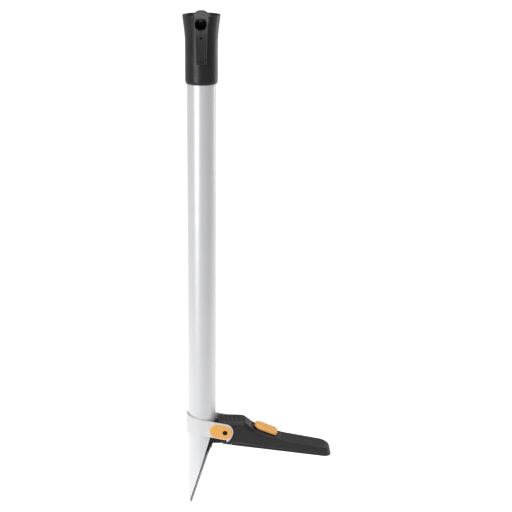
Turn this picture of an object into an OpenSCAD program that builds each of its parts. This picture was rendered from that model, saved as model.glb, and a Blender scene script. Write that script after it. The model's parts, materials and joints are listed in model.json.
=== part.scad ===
// Foot-operated planting tube.
// A seedling dropped in at the mouth falls to the pointed foot, and the pedal swings the jaw open
// to leave it in the ground.
// The origin is the centre of the tube's upper end. +Z is up the tube, +X is towards the pedal,
// and -Y is towards the person who holds the grip.

/* [Tube] */
// Outside diameter of the tube
tube_od = 50; // [46:0.5:60]
// Wall of the tube
tube_wall = 1.5; // [1:0.1:3]
// Length of the tube from its upper end to its tip
tube_len = 848; // [600:1:1100]
// Height of the slanting cut at the foot
cut_rise = 170; // [140:1:210]

/* [Funnel sleeve] */
// Wall of the sleeve
sleeve_wall = 3; // [2:0.1:4]
// Length of the sleeve below the tube's upper end
sleeve_len = 75; // [60:1:120]
// Height of the flared mouth above the tube's upper end
flare_h = 42; // [30:1:60]
// Widening of the flared mouth, on the radius
flare_out = 4.5; // [3:0.5:12]
// Thickness of the lip
lip_wall = 1.8; // [1.2:0.1:3]
// Depth of the seat for a drop-in liner, above the tube's upper end
seat_depth = 8; // [5:0.5:15]
// Width of the ledge under the seat
seat_ledge = 1; // [0.6:0.1:1.4]

/* [Grip] */
// Distance from the tube's axis to the end of the grip
grip_reach = 134; // [110:1:180]
// Radius of the grip
grip_r = 10.8; // [10.4:0.1:14]
// Radius of the hanging hole in the end of the grip
hang_r = 9; // [6:0.1:9.2]
// Depth of the hanging hole
hang_depth = 60; // [30:1:80]
// Height of the grip's axis above the tube's upper end
grip_z = 40.3; // [36:0.1:50]
// Radius of the round root of the grip
root_r = 17.5; // [15:0.5:22]
// Depth of the brace below the grip's axis
brace_drop = 79.3; // [60:1:100]
// Width of the brace at its top
brace_w = 21.5; // [16:0.5:24]
// Width of the brace at its foot
brace_foot_w = 17.5; // [12:0.5:20]

/* [Collar] */
// Thickness of the collar strap
strap_t = 3; // [2:0.1:4]
// Gap between the strap and the tube
strap_gap = 0.4; // [0.2:0.1:1]
// Radius of the round end of each ear
ear_r = 14.6; // [14:0.1:20]
// Thickness of the orange pivot plates
plate_t = 3.4; // [3:0.1:5]
// Radius of the ends of the orange pivot plates
plate_r = 12; // [10:0.1:13]

/* [Linkage] */
// Distance of the jaw hinge outside the slanting cut
hinge_stand = 6.7; // [6.5:0.1:10]
// Distance from the jaw hinge to the pedal pivot, along X
link_span = 15.5; // [15.5:0.1:20]
// Drop from the jaw hinge to the pedal pivot
link_drop = 2.9; // [0:0.1:4]
// Travel of the pedal in degrees
pedal_travel = 20; // [10:1:22]
// Radius of the pivot bush
bush_r = 5; // [4.5:0.1:5.2]
// Radius of the pivot bolt
bolt_r = 3; // [2.5:0.1:3.5]
// Radius of the jaw hinge pin
jaw_pin_r = 3; // [2:0.1:3.5]
// Running clearance on the bush and the jaw pin
run_gap = 0.05; // [0.02:0.01:0.1]

/* [Jaw] */
// Thickness of the jaw plate
jaw_t = 3; // [2:0.1:3.4]
// Radius of the jaw plate's crosswise curve
jaw_curve = 120; // [110:1:200]
// Length of the jaw plate along the cut
jaw_len = 130; // [100:1:132]

/* [Pedal] */
// Width of the pedal
pedal_w = 45; // [42:0.5:46]
// Wall of the pedal shell
pedal_wall = 4; // [3:0.1:4.2]
// Distance from the pivot to the end of the tread
pedal_reach = 191; // [180:1:240]
// Height of the ribbed hump above the pivot
hump_h = 17.5; // [16:0.5:22]
// Thickness of the base plate
base_t = 3.5; // [2.5:0.1:5]
// Overhang of the base plate beyond the shell
base_lip = 1.2; // [0:0.1:2]

/* [Latch] */
// Angle of the lock bar below the horizontal
bar_tilt = 22; // [20:0.5:24]
// Travel of the orange slider
latch_travel = 5.5; // [4:0.1:6]
// Length of the orange slider
slider_l = 43; // [36:1:46]
// Width of the orange slider
slider_w = 30; // [20:1:31]
// Height of the orange slider above the pedal
slider_h = 8.5; // [5:0.5:10]
// Radius of the lock hub
hub_r = 21.5; // [20:0.1:21.8]

/* [Hidden] */
$fn = 72;

tube_r = tube_od / 2;
bore_r = tube_r - tube_wall;
tip_z = -tube_len;
slack = 0.3;                                   // gap between faces that pass each other
skin = 0.1;                                    // gap between faces that slide on each other

sleeve_r = tube_r + sleeve_wall;
flare_r = sleeve_r + flare_out;
sleeve_edge = 5;                               // rounding of the sleeve's lower edge
root_len = 22;                                 // length of the grip's conical root
root_drop = 4.3;                               // the root's centre below the grip's axis

// The cut rises from the tip on the far side to the pedal side.
slope = cut_rise / tube_od;
cut_angle = atan(slope);

// The jaw hinge stands outside the cut, and the pedal pivot stands outside the jaw hinge.
jaw_x = tube_r + 0.8;
jaw_z = tip_z + slope * (jaw_x + tube_r) - hinge_stand / cos(cut_angle);
piv_x = jaw_x + link_span;
piv_z = jaw_z - link_drop;

// The link pin swings evenly to both sides of the line between the two hinges.
link_r = 8.2;
link_pin_r = 2;
link_base = 180 - atan(link_drop / link_span);
link_a = link_base + pedal_travel / 2;
link_at = [piv_x + link_r * cos(link_a), piv_z + link_r * sin(link_a)];
fork_dir = atan2(link_at[1] - jaw_z, link_at[0] - jaw_x);
fork_root = link_span - link_r - link_pin_r + 0.2;   // the fork's slot, out from the jaw hinge
fork_end = link_span - link_r + link_pin_r + 0.9;

strap_in = tube_r + strap_gap;
strap_out = strap_in + strap_t;
plate_out = strap_out + plate_t;
top_fall = 10.8;                               // slopes of the strap's edges, in degrees
foot_fall = 11.6;
head_r = 4.4;                                  // bolt head and its counterbore
head_t = 2.2;
nut_r = 5.8;

half_w = pedal_w / 2;
cheek_out = half_w - pedal_wall - 0.7;         // the jaw carrier's cheeks run inside the shell
cheek_in = cheek_out - 4.8;
hub_w = 4;                                     // half width of the lock hub
wire_r = 0.8;
coil_r = bush_r + 1.2;
coil_turns = 3;
spring_in = hub_w + 0.7 + wire_r;
spring_out = cheek_in - 1 - wire_r;

ridge_foot = 5;                                // height of the jaw's ridge above the cut: tip, top
ridge_top = 8.4;
ridge_angle = atan((ridge_top - ridge_foot) / jaw_len);

base_fall = 7.3;                               // slope of the pedal's underside, in degrees
foot_z = -24.5;                                // underside of the pedal below the pivot
ramp = [51.2, 2.9];                            // top of the ramp, seen from the pivot
ramp_l = 51.3;
ramp_fall = bar_tilt;
tread = [ramp[0] + ramp_l * cos(ramp_fall), ramp[1] - ramp_l * sin(ramp_fall)];
tread_fall = 11.2;
end_r = 15;                                    // rounding of the tread's end, seen from above

nose_h = 3;                                    // lock bar: height of its nose and of its body
bar_h = 6;
bar_rise = 6;                                  // the bar's axis above the pivot
bar_w = 6.8;
nose_at = hub_r + 0.5;
hub_low = asin(bar_rise / hub_r) - bar_tilt - pedal_travel - 20;
bar_end = 72;
stem_l = 12;
stem_w = 8;
slider_at = 1.5;                               // the slider's start along the ramp
pocket = 1.4;                                  // depth of the slider's pocket in the ramp
stem_at = slider_at + 18;

// Helpers: a point at an angle, and shapes laid across the tool along Y.
function polar(r, a) = [r * cos(a), r * sin(a)];
module at(x, z) translate([x, 0, z]) children();
module across(y0, y1) translate([0, y1, 0]) rotate([90, 0, 0]) linear_extrude(y1 - y0) children();
module rod(r, y0, y1) translate([0, y1, 0]) rotate([90, 0, 0]) cylinder(r = r, h = y1 - y0);
module both_sides() { children(); mirror([0, 1, 0]) children(); }
// Frame of the cut: x runs up the slope from the tip, and z points out of the tube.
module on_cut() translate([-tube_r, 0, tip_z]) rotate([0, -cut_angle, 0]) rotate([180, 0, 0])
    children();
// Frame of the pedal, at its pivot.
module on_pedal() at(piv_x, piv_z) children();
// Frame of the ramp: x runs down the slope, and z points out of the shell.
module on_ramp() on_pedal() at(ramp[0], ramp[1]) rotate([0, ramp_fall, 0]) children();
// Frame of the lock bar: x runs out along its axis, which passes above the pivot.
module on_bar() on_pedal() rotate([0, bar_tilt, 0]) translate([0, 0, bar_rise]) children();

// ---- tube and funnel ----
module tube() color("gainsboro") difference() {
    translate([0, 0, tip_z]) cylinder(r = tube_r, h = tube_len, $fn = 120);
    translate([0, 0, tip_z - 1]) cylinder(r = bore_r, h = tube_len + 2, $fn = 120);
    on_cut() translate([-100, -tube_od, 0]) cube([cut_rise + 300, 2 * tube_od, 200]);
    collar_rivet_shafts();
    sleeve_screw_shafts();
}

module sleeve_form() rotate_extrude($fn = 120) polygon(concat(
    [for (i = [0:4]) [tube_r, -sleeve_len] + [sleeve_wall - sleeve_edge * (1 - sin(i * 22.5)) / 2,
                                              sleeve_edge * (1 - cos(i * 22.5))]],
    [[sleeve_r, 2], [flare_r, flare_h], [0, flare_h], [0, -sleeve_len]]));

module funnel_sleeve() color("#2b2b2d") difference() {
    sleeve_form();
    translate([0, 0, -sleeve_len - 1]) cylinder(r = tube_r, h = sleeve_len + 1, $fn = 120);
    rotate_extrude($fn = 120) polygon([[0, -1], [bore_r + seat_ledge, -1],
        [bore_r + seat_ledge, seat_depth], [flare_r - lip_wall, flare_h],
        [flare_r - lip_wall, flare_h + 1], [0, flare_h + 1]]);
    sleeve_screw_shafts();
    brace_screw_shaft();
}

screw_z = [-18, -56];
screw_r = 1.8;
module sleeve_screw_shafts() for (z = screw_z) translate([0, bore_r - 1, z])
    rotate([-90, 0, 0]) cylinder(r = screw_r, h = sleeve_wall + tube_wall + 1);

module sleeve_screws() color("silver") for (z = screw_z) translate([0, bore_r + 0.2, z])
    rotate([-90, 0, 0]) {
        cylinder(r = screw_r, h = sleeve_wall + tube_wall - 0.2);
        translate([0, 0, sleeve_wall + tube_wall - 0.2]) cylinder(r1 = 3.4, r2 = 2.4, h = 1.8);
    }

// ---- grip ----
module grip_form() {
    translate([0, 0, grip_z]) rod(grip_r, -grip_reach, -flare_r + lip_wall);
    intersection() {
        hull() {
            translate([0, -sleeve_r - root_len, grip_z]) rotate([-90, 0, 0])
                cylinder(r = grip_r, h = 0.1, $fn = 48);
            translate([0, -sleeve_r + 4, grip_z - root_drop]) rotate([-90, 0, 0])
                cylinder(r = root_r, h = 0.1, $fn = 48);
        }
        // the root's top is cut flat, just under the top of the grip
        translate([-2 * root_r, -3 * tube_od, grip_z - 4 * root_r])
            cube([4 * root_r, 3 * tube_od, 4 * root_r + grip_r - 0.5]);
    }
}
module grip() color("#232325") difference() {
    grip_form();
    sleeve_form();
    translate([0, 0, grip_z]) rod(hang_r, -grip_reach - 1, -grip_reach + hang_depth);
    translate([-tube_od, -flare_r + lip_wall, flare_h]) cube([2 * tube_od, tube_od, tube_od]);
}

brace_reach = 66;
brace_top = grip_z - grip_r;
brace_screw_z = 7;
module grip_brace() color("#29292b") difference() {
    intersection() {
        rotate([90, 0, 90]) translate([0, 0, -brace_w / 2]) linear_extrude(brace_w)
            brace_solid();
        translate([0, 0, grip_z - brace_drop]) rotate([90, 0, 0]) linear_extrude(200)
            polygon([[-brace_foot_w / 2, -1], [brace_foot_w / 2, -1],
                     [brace_w / 2, brace_drop], [-brace_w / 2, brace_drop]]);
    }
    sleeve_form();
    grip_form();
    brace_screw_shaft();
}
// Side of the brace: a concave quarter sweep from the sleeve up to the underside of the grip.
module brace_solid() {
    lean = brace_reach - sleeve_r - 3.5;
    rise = brace_drop - grip_r - 4;
    polygon(concat(
        [[-sleeve_r + 6, brace_top], [-sleeve_r + 6, grip_z - brace_drop],
         [-sleeve_r - 3.5, grip_z - brace_drop]],
        [for (i = [0:12]) [-sleeve_r - 3.5 - lean * (1 - cos(i * 7.5)),
                           brace_top - 4 - rise * (1 - sin(i * 7.5))]],
        [[-brace_reach, brace_top]]));
}

brace_screw_y = -sleeve_r - 9;
brace_head_r = 2.5;
module brace_screw_shaft() translate([0, brace_screw_y, brace_screw_z]) rotate([-90, 0, 0]) {
    cylinder(r = 1.6, h = 11);
    translate([0, 0, -30]) cylinder(r = brace_head_r + 0.1, h = 30);
}

module brace_screw() color("#3a3a3c") translate([0, brace_screw_y, brace_screw_z])
    rotate([-90, 0, 0]) {
        translate([0, 0, -1.8]) cylinder(r = brace_head_r, h = 1.8);
        translate([0, 0, -0.5]) cylinder(r = 1.6, h = 11);
    }

// ---- collar, plates and pivot ----
// Radius of the ear's end at an angle below the horizontal: round, with the tooth that stops the
// pedal on its way up.
function ear_end(a) = ear_r + lookup(a, [[-81, 0], [-80, 4.2], [-68, 3.2], [-44, 1], [-25, 0]]);
module ear_side() {
    head = piv_z + ear_r / cos(top_fall) + tan(top_fall) * (piv_x + tube_od);
    foot = piv_z - ear_r / cos(foot_fall) + tan(foot_fall) * piv_x;
    polygon(concat([[-tube_od, head], [-tube_od, foot], [0, foot]],
        [for (i = [0:90]) let (a = -90 - foot_fall + i * (180 + foot_fall - top_fall) / 90)
            [piv_x, piv_z] + polar(ear_end(a), a)]));
}

module collar_strap() color("whitesmoke") difference() {
    intersection() {
        translate([0, 0, piv_z - 40]) linear_extrude(90) difference() {
            union() {
                circle(r = strap_out, $fn = 120);
                translate([0, -strap_out]) square([piv_x + 2 * ear_r, 2 * strap_out]);
            }
            circle(r = strap_in, $fn = 120);
            translate([0, -strap_in]) square([piv_x + 2 * ear_r + 1, 2 * strap_in]);
        }
        across(-2 * tube_od, 2 * tube_od) ear_side();
    }
    at(piv_x, piv_z) rod(bolt_r, -tube_od, tube_od);
    at(jaw_x, jaw_z) rod(jaw_pin_r, -tube_od, tube_od);
    collar_rivet_shafts();
}

rivet_a = [50, 130];                           // places of the collar's rivets round the tube
module collar_rivet_shafts() for (a = rivet_a) translate([0, 0, jaw_z + 8]) rotate([0, 0, a])
    translate([bore_r - 1, 0, 0]) rotate([0, 90, 0])
        cylinder(r = 2, h = tube_wall + strap_gap + strap_t + 1);

module collar_rivets() color("silver") for (a = rivet_a) translate([0, 0, jaw_z + 8])
    rotate([0, 0, a]) translate([bore_r + 0.2, 0, 0]) rotate([0, 90, 0]) {
        cylinder(r = 2, h = strap_out - bore_r - 0.2);
        translate([0, 0, strap_out - bore_r - 0.2]) cylinder(r1 = 4, r2 = 2.6, h = 1.4);
    }

module stadium() hull() {
    translate([piv_x, piv_z]) circle(r = plate_r, $fn = 64);
    translate([jaw_x, jaw_z]) circle(r = plate_r, $fn = 64);
}

module front_pivot_plate() color("orange") difference() {
    across(-plate_out, -strap_out) stadium();
    at(piv_x, piv_z) rod(bolt_r, -tube_od, 0);
    at(piv_x, piv_z) rod(head_r, -tube_od, -plate_out + head_t + 0.4);
}

module rear_pivot_plate() color("orange") difference() {
    across(strap_out, plate_out) stadium();
    at(piv_x, piv_z) rod(bolt_r, 0, tube_od);
}

module pivot_bolt() color("dimgray") at(piv_x, piv_z) difference() {
    union() {
        rod(bolt_r, -plate_out + 1, plate_out + 6);
        rod(head_r, -plate_out + 0.4, -plate_out + head_t + 0.4);
    }
    translate([0, -plate_out + 1.4, 0]) rotate([90, 0, 0]) cylinder(r = 2.2, h = 10, $fn = 6);
}

module pivot_nut() color("silver") at(piv_x, piv_z) difference() {
    translate([0, plate_out + 5, 0]) rotate([90, 0, 0]) cylinder(r = nut_r, h = 5, $fn = 6);
    rod(bolt_r, 0, tube_od);
}

module pivot_bush() color("goldenrod") at(piv_x, piv_z) difference() {
    rod(bush_r, -strap_in, strap_in);
    rod(bolt_r, -tube_od, tube_od);
}

module pivot_washers() color("#1d1d1f") at(piv_x, piv_z) both_sides() difference() {
    rod(9, half_w + skin, strap_in);
    rod(bush_r, 0, tube_od);
}

// The hub stands still, and the lock bar's nose enters one of its two notches.
module lock_hub() color("slategray") at(piv_x, piv_z) difference() {
    union() {
        rod(9, -hub_w, hub_w);
        across(-hub_w, hub_w) polygon(concat([[0, 0]],
            [for (i = [0:12]) polar(hub_r, hub_low + i / 12 * (pedal_travel + 34))]));
    }
    rod(bush_r, -tube_od, tube_od);
    for (turn = [0, pedal_travel]) rotate([0, bar_tilt + turn, 0])
        translate([nose_at - latch_travel - 0.5, -tube_od, bar_rise - nose_h / 2 - slack])
            cube([50, 2 * tube_od, nose_h + 2 * slack]);
}

// Wire swept along a helix round the bush: the first point is the end that sits in the hub.
function coil_point(t) = t < 0
    ? [coil_r, spring_in + 2.4 * t, 0]
    : [coil_r * cos(360 * coil_turns * t), spring_in + (spring_out - spring_in) * t,
       coil_r * sin(360 * coil_turns * t)];
coil_steps = 24 * coil_turns;
coil_sides = 8;
coil_path = [for (i = [-1:coil_steps]) coil_point(i / (i < 0 ? 1 : coil_steps))];
function unit(v) = v / norm(v);
function coil_ring(i) =
    let (last = len(coil_path) - 1,
         way = unit(coil_path[min(i + 1, last)] - coil_path[max(i - 1, 0)]),
         out = unit([coil_path[i][0], 0, coil_path[i][2]]),
         side = unit(cross(way, out)), up = cross(side, way))
    [for (k = [0:coil_sides - 1])
        coil_path[i] + wire_r * (cos(360 * k / coil_sides) * up + sin(360 * k / coil_sides) * side)];
module coil() {
    n = len(coil_path);
    m = coil_sides;
    polyhedron(
        points = [for (i = [0:n - 1]) each coil_ring(i)],
        faces = concat([[for (k = [0:m - 1]) k]],
            [for (i = [0:n - 2], k = [0:m - 1])
                [i * m + k, (i + 1) * m + k, (i + 1) * m + (k + 1) % m, i * m + (k + 1) % m]],
            [[for (k = [m - 1:-1:0]) (n - 1) * m + k]]));
}
module return_springs() color("silver") at(piv_x, piv_z) both_sides() rotate([0, 60, 0]) coil();

// ---- jaw ----
module jaw_pin() color("silver") at(jaw_x, jaw_z) rod(jaw_pin_r, -strap_out, strap_out);

// A cylinder whose crest is the ridge of the jaw plate, above the cut.
module jaw_crest(r) on_cut() translate([0, 0, ridge_foot]) rotate([0, -ridge_angle, 0])
    translate([-60, 0, -jaw_curve]) rotate([0, 90, 0]) cylinder(r = r, h = 400, $fn = 180);

module jaw_plate() color("#55585c") difference() {
    intersection() {
        jaw_crest(jaw_curve);
        on_cut() linear_extrude(30) jaw_outline();
    }
    jaw_crest(jaw_curve - jaw_t);
    jaw_rivet_shafts();
}
// The ellipse of the tube's mouth on the cut, with a round top end below the hinge.
module jaw_outline() {
    top_r = 14;
    half = norm([tube_r, cut_rise / 2]);
    intersection() {
        polygon([for (a = [0:6:354]) [half * (1 - cos(a)) + 0.5, (tube_r - 0.2) * sin(a)]]);
        union() {
            translate([0, -tube_r]) square([jaw_len - top_r, 2 * tube_r]);
            translate([jaw_len - top_r, 0]) circle(r = top_r);
        }
    }
}

jaw_rivet_u = jaw_len - 14;
module jaw_rivet_shafts() both_sides() on_cut() translate([jaw_rivet_u, 7, 0.6])
    cylinder(r = 2, h = 20);
module jaw_rivets() color("dimgray") {
    both_sides() on_cut() translate([jaw_rivet_u, 7, 2.2]) cylinder(r = 2, h = ridge_top - 2);
    // heads that sit on the plate's outer face
    difference() {
        both_sides() on_cut() translate([jaw_rivet_u, 7, ridge_top - 2])
            cylinder(r1 = 4, r2 = 2.4, h = 3.4);
        jaw_crest(jaw_curve);
    }
}

hinge_u = (jaw_x + tube_r) * cos(cut_angle) + (jaw_z - tip_z) * sin(cut_angle);
web_low = 2;                                   // the carrier's web lies under the jaw plate
web_high = ridge_foot + (ridge_top - ridge_foot) * (jaw_len - 30) / jaw_len - jaw_t - 0.7;
module jaw_carrier() color("#2e2f31") difference() {
    union() {
        // eye across the hinge pin
        at(jaw_x, jaw_z) rod(hinge_stand - 0.7, -cheek_out, cheek_out);
        // web under the jaw plate, narrow where the plate's curve comes down to it
        across(-12, 12) polygon([on_cut_at(jaw_len - 30, web_low), on_cut_at(jaw_len - 30, web_high),
            on_cut_at(jaw_len - 5, web_high), on_cut_at(jaw_len - 5, web_low)]);
        across(-cheek_out + 1, cheek_out - 1) polygon([on_cut_at(jaw_len - 8, web_low),
            on_cut_at(jaw_len - 8, web_high), on_cut_at(hinge_u - 4, web_high),
            on_cut_at(hinge_u - 4, web_low)]);
        // cheeks with the fork that takes the link pins
        both_sides() across(cheek_in, cheek_out) {
            translate([jaw_x, jaw_z]) rotate(fork_dir) translate([0, -link_pin_r - 2.8])
                square([fork_end, 2 * link_pin_r + 5.6]);
            polygon([on_cut_at(jaw_len - 8.5, web_low), on_cut_at(jaw_len - 8.5, web_high + 4),
                     [piv_x - 22, piv_z + foot_z], [piv_x + 2.5, piv_z + foot_z],
                     [piv_x + 2.5, piv_z + foot_z + 7], [piv_x - 10, piv_z + foot_z + 13],
                     on_cut_at(hinge_u + 1, hinge_stand + 3.7), on_cut_at(hinge_u + 1, 1.2)]);
        }
    }
    at(jaw_x, jaw_z) rod(jaw_pin_r + run_gap, -tube_od, tube_od);
    at(jaw_x, jaw_z) rotate([0, -fork_dir, 0]) translate([fork_root, -tube_od, -link_pin_r - slack])
        cube([20, 2 * tube_od, 2 * (link_pin_r + slack)]);
    at(piv_x, piv_z) rod(bush_r + slack, -tube_od, tube_od);
    jaw_rivet_shafts();
}
// A point in the XZ plane, from its place up the cut and its height above it.
function on_cut_at(u, w) = [-tube_r + u * cos(cut_angle) + w * sin(cut_angle),
                            tip_z + u * sin(cut_angle) - w * cos(cut_angle)];

// ---- pedal ----
function foot_at(x, lift = 0) = [x, foot_z - tan(base_fall) * (x + 4) + lift];
// Outline of the shell seen from the side, as seen from the pivot.
function shell_side() = [
    [-13, 9], [-13, hump_h - 2.5], [-10.5, hump_h], [19.7, hump_h - 0.4], [32.7, hump_h - 1.3],
    [39.5, hump_h - 5.6], ramp, tread, [tread[0] + 9, tread[1] - 2.3],
    [pedal_reach - 17, tread[1] - tan(tread_fall) * (pedal_reach - 17 - tread[0])],
    [pedal_reach - 3, tread[1] - tan(tread_fall) * (pedal_reach - 17 - tread[0]) - 5.5],
    [pedal_reach, tread[1] - tan(tread_fall) * (pedal_reach - 17 - tread[0]) - 10],
    foot_at(pedal_reach, base_t), foot_at(12, base_t), foot_at(12), foot_at(-4), [-10.3, -10],
    [-10.3, 9]];
module hollow_side() polygon([
    [-10, hump_h - 3.6], [19.3, hump_h - 4], [31.5, hump_h - 5], [ramp[0] - 2, ramp[1] - 3.6],
    [tread[0] - 1.4, tread[1] - 4.4], [pedal_reach - 19, tread[1] - 4.4
        - tan(tread_fall) * (pedal_reach - 18 - tread[0])],
    [pedal_reach - 4, tread[1] - 14 - tan(tread_fall) * (pedal_reach - 18 - tread[0])],
    foot_at(pedal_reach - 4, -20), foot_at(-4, -20), [-20, -30], [-20, 9], [-10, 9]]);

module plan(w, reach, r) {
    translate([-30, -w]) square([reach + 30 - r, 2 * w]);
    for (s = [-1, 1]) translate([reach - r, s * (w - r)]) circle(r = r);
    translate([reach - r - 1, -w + r]) square([r + 1, 2 * (w - r)]);
}

boss_at = [[40, 13.5], [150, 13.5]];           // screw bosses: along the pedal, and to each side
module screw_holes(r, lift) for (b = boss_at) both_sides() on_pedal()
    translate([b[0], b[1], foot_at(b[0])[1] + lift]) cylinder(r = r, h = 14);

rib_pitch = 7.8;
module pedal_shell() color("#333436") difference() {
    union() {
        difference() {
            on_pedal() intersection() {
                across(-half_w, half_w) polygon(shell_side());
                translate([0, 0, -80]) linear_extrude(120) plan(half_w, pedal_reach, end_r);
            }
            on_pedal() intersection() {
                across(-half_w + pedal_wall, half_w - pedal_wall) hollow_side();
                translate([0, 0, -80]) linear_extrude(120)
                    plan(half_w - pedal_wall, pedal_reach - 4, end_r - 4);
            }
        }
        // bosses for the base screws, a guide for the lock bar, and the ribs that meet the stops
        on_pedal() intersection() {
            union() {
                for (b = boss_at) both_sides() translate([b[0], b[1], -60]) cylinder(r = 4.2, h = 80);
                rotate([0, bar_tilt, 0]) translate([38, -half_w + 1, -30])
                    cube([3, 2 * half_w - 2, 60]);
            }
            across(-half_w + 1, half_w - 1) polygon(shell_side());
        }
        on_pedal() both_sides() across(half_w - 1, strap_out - 0.4) intersection() {
            difference() {
                circle(r = ear_r + 5);
                circle(r = ear_r + 0.7);
            }
            polygon([[0, 0], polar(40, -83), polar(40, -94)]);
        }
    }
    at(piv_x, piv_z) rod(bush_r + run_gap, -tube_od, tube_od);
    at(link_at[0], link_at[1]) both_sides() rod(link_pin_r, 0, half_w - 1);
    // grooves across the hump
    on_pedal() for (i = [0:5]) translate([-7 + i * rib_pitch, -half_w - 1, hump_h - 0.9 - i * 0.15])
        cube([1.2, pedal_w + 2, 5]);
    // pocket and slot for the slider, and windows for the bar and the screws
    on_ramp() translate([slider_at - latch_travel - 0.4, -slider_w / 2 - 0.5, -pocket])
        cube([slider_l + latch_travel + 0.8, slider_w + 1, 20]);
    on_ramp() translate([stem_at - latch_travel - 0.3, -stem_w / 2 - 0.2, -20])
        cube([stem_l + latch_travel + 0.6, stem_w + 0.4, 30]);
    on_bar() translate([nose_at - latch_travel - 0.5, -bar_w / 2 - 0.2, -bar_h / 2 - 0.2])
        cube([bar_end - nose_at + latch_travel + 2, bar_w + 0.4, bar_h + 0.4]);
    screw_holes(1.6, base_t - 1);
    // sweep of the jaw hinge and its carrier past the shell's inner end
    at(jaw_x, jaw_z) rod(hinge_stand, -half_w - 1, half_w + 1);
}

module link_pins() color("silver") at(link_at[0], link_at[1]) both_sides()
    rod(link_pin_r, cheek_in - 0.6, half_w - 1);

module pedal_base() color("#262628") difference() {
    on_pedal() intersection() {
        across(-tube_od, tube_od) polygon([foot_at(12), foot_at(12, base_t),
            foot_at(pedal_reach + base_lip, base_t), foot_at(pedal_reach + base_lip)]);
        translate([0, 0, -80]) linear_extrude(120)
            plan(half_w + base_lip, pedal_reach + base_lip, end_r + base_lip);
    }
    screw_holes(1.6, -1);
    screw_holes(screw_head_r + 0.2, screw_head_in - 14);
}

screw_head_r = 3.1;
screw_head_in = 1;                             // the heads sit this deep in the base plate
module base_screws() color("silver") for (b = boss_at) both_sides() on_pedal()
    translate([b[0], b[1], foot_at(b[0])[1]]) {
        cylinder(r = 1.6, h = 12);
        translate([0, 0, screw_head_in - 1.8]) cylinder(r = screw_head_r, h = 1.8);
    }

// ---- latch ----
module latch_slider() color("orange") {
    on_ramp() translate([slider_at, 0, -pocket + skin]) linear_extrude(slider_h + pocket)
        round_box(slider_l, slider_w, 6);
    intersection() {
        on_ramp() translate([stem_at, -stem_w / 2, -40]) cube([stem_l, stem_w, 41]);
        on_bar() translate([0, -tube_od, bar_h / 2]) cube([200, 2 * tube_od, 60]);
    }
}
module round_box(l, w, r) {
    for (x = [r, l - r], y = [-w / 2 + r, w / 2 - r]) translate([x, y]) circle(r = r);
    translate([r, -w / 2]) square([l - 2 * r, w]);
    translate([0, -w / 2 + r]) square([l, w - 2 * r]);
}

screw_u = ramp[0] * cos(bar_tilt) - ramp[1] * sin(bar_tilt) + stem_at + stem_l / 2;
module lock_bar() color("silver") difference() {
    on_bar() union() {
        translate([nose_at, -bar_w / 2, -nose_h / 2]) cube([20, bar_w, nose_h]);
        translate([nose_at + 9, -bar_w / 2, -bar_h / 2])
            cube([bar_end + 14 - nose_at - 9, bar_w, bar_h]);
    }
    on_bar() translate([screw_u, 0, -10]) cylinder(r = 1.5, h = 20);
}
module latch_screw() color("silver") on_bar() translate([screw_u, 0, -bar_h / 2]) {
    cylinder(r = 1.5, h = bar_h);
    translate([0, 0, -1.6]) cylinder(r = 2.8, h = 1.6);
}

tube();
funnel_sleeve();
sleeve_screws();
grip();
grip_brace();
brace_screw();
collar_strap();
collar_rivets();
front_pivot_plate();
rear_pivot_plate();
pivot_bolt();
pivot_nut();
pivot_bush();
pivot_washers();
lock_hub();
return_springs();
jaw_pin();
jaw_carrier();
jaw_plate();
jaw_rivets();
pedal_shell();
pedal_base();
base_screws();
link_pins();
latch_slider();
lock_bar();
latch_screw();
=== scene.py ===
# %% [markdown]
# # A foot-operated planting tube
# This lesson dresses a working CAD model of a planting tube. The CAD model is the fixed frame: it says
# how large the tool is and how its pedal, jaw and lock move. Blender adds the soft edges, the ribs and
# the finishes that make it look like a real tool. Sizes below are in millimetres, as on a drawing, and
# one function turns them into metres when a mesh is made.

# %% Load the frame
import json
import math
import bmesh
import bpy
import numpy as np
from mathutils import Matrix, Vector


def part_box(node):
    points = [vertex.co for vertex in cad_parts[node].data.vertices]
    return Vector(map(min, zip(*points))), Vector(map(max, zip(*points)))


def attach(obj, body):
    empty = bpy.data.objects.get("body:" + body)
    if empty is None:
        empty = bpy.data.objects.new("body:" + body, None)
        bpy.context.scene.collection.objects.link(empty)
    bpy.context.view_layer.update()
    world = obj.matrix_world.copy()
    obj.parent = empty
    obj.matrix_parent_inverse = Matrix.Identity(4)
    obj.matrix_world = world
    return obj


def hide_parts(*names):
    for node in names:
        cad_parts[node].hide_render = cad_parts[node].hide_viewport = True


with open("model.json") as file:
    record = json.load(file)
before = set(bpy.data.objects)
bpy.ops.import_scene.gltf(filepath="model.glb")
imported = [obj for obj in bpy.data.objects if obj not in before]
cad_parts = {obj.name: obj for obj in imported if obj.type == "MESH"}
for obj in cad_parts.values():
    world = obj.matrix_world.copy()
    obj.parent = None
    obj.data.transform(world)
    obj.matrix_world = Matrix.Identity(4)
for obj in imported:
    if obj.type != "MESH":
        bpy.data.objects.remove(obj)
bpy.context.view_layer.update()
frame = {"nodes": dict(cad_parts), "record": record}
node = frame["nodes"]

# %% [markdown]
# The camera stands about 2.6 m from the tool, a little above its top, and looks 15 degrees down
# through a long lens. A short lens from nearby would spread the foot and the mouth apart, and a flat
# (orthographic) camera would lose the view of the pedal's top, so the long lens is used. The tool
# stands left of the middle, which the lens shift gives without turning the camera.

# %% Camera
camera_data = bpy.data.cameras.new("camera")
camera_data.sensor_width = 36
camera_data.lens = 108.98
camera_data.shift_x = 0.0824
camera_data.clip_start, camera_data.clip_end = 0.1, 200
camera = bpy.data.objects.new("camera", camera_data)
camera.location = (0.021, -2.632, 0.3377)
camera.rotation_euler = (math.radians(90 - 15.27), 0, 0)
bpy.context.scene.collection.objects.link(camera)
bpy.context.scene.camera = camera
print("camera at", tuple(round(v, 3) for v in camera.location))

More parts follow.
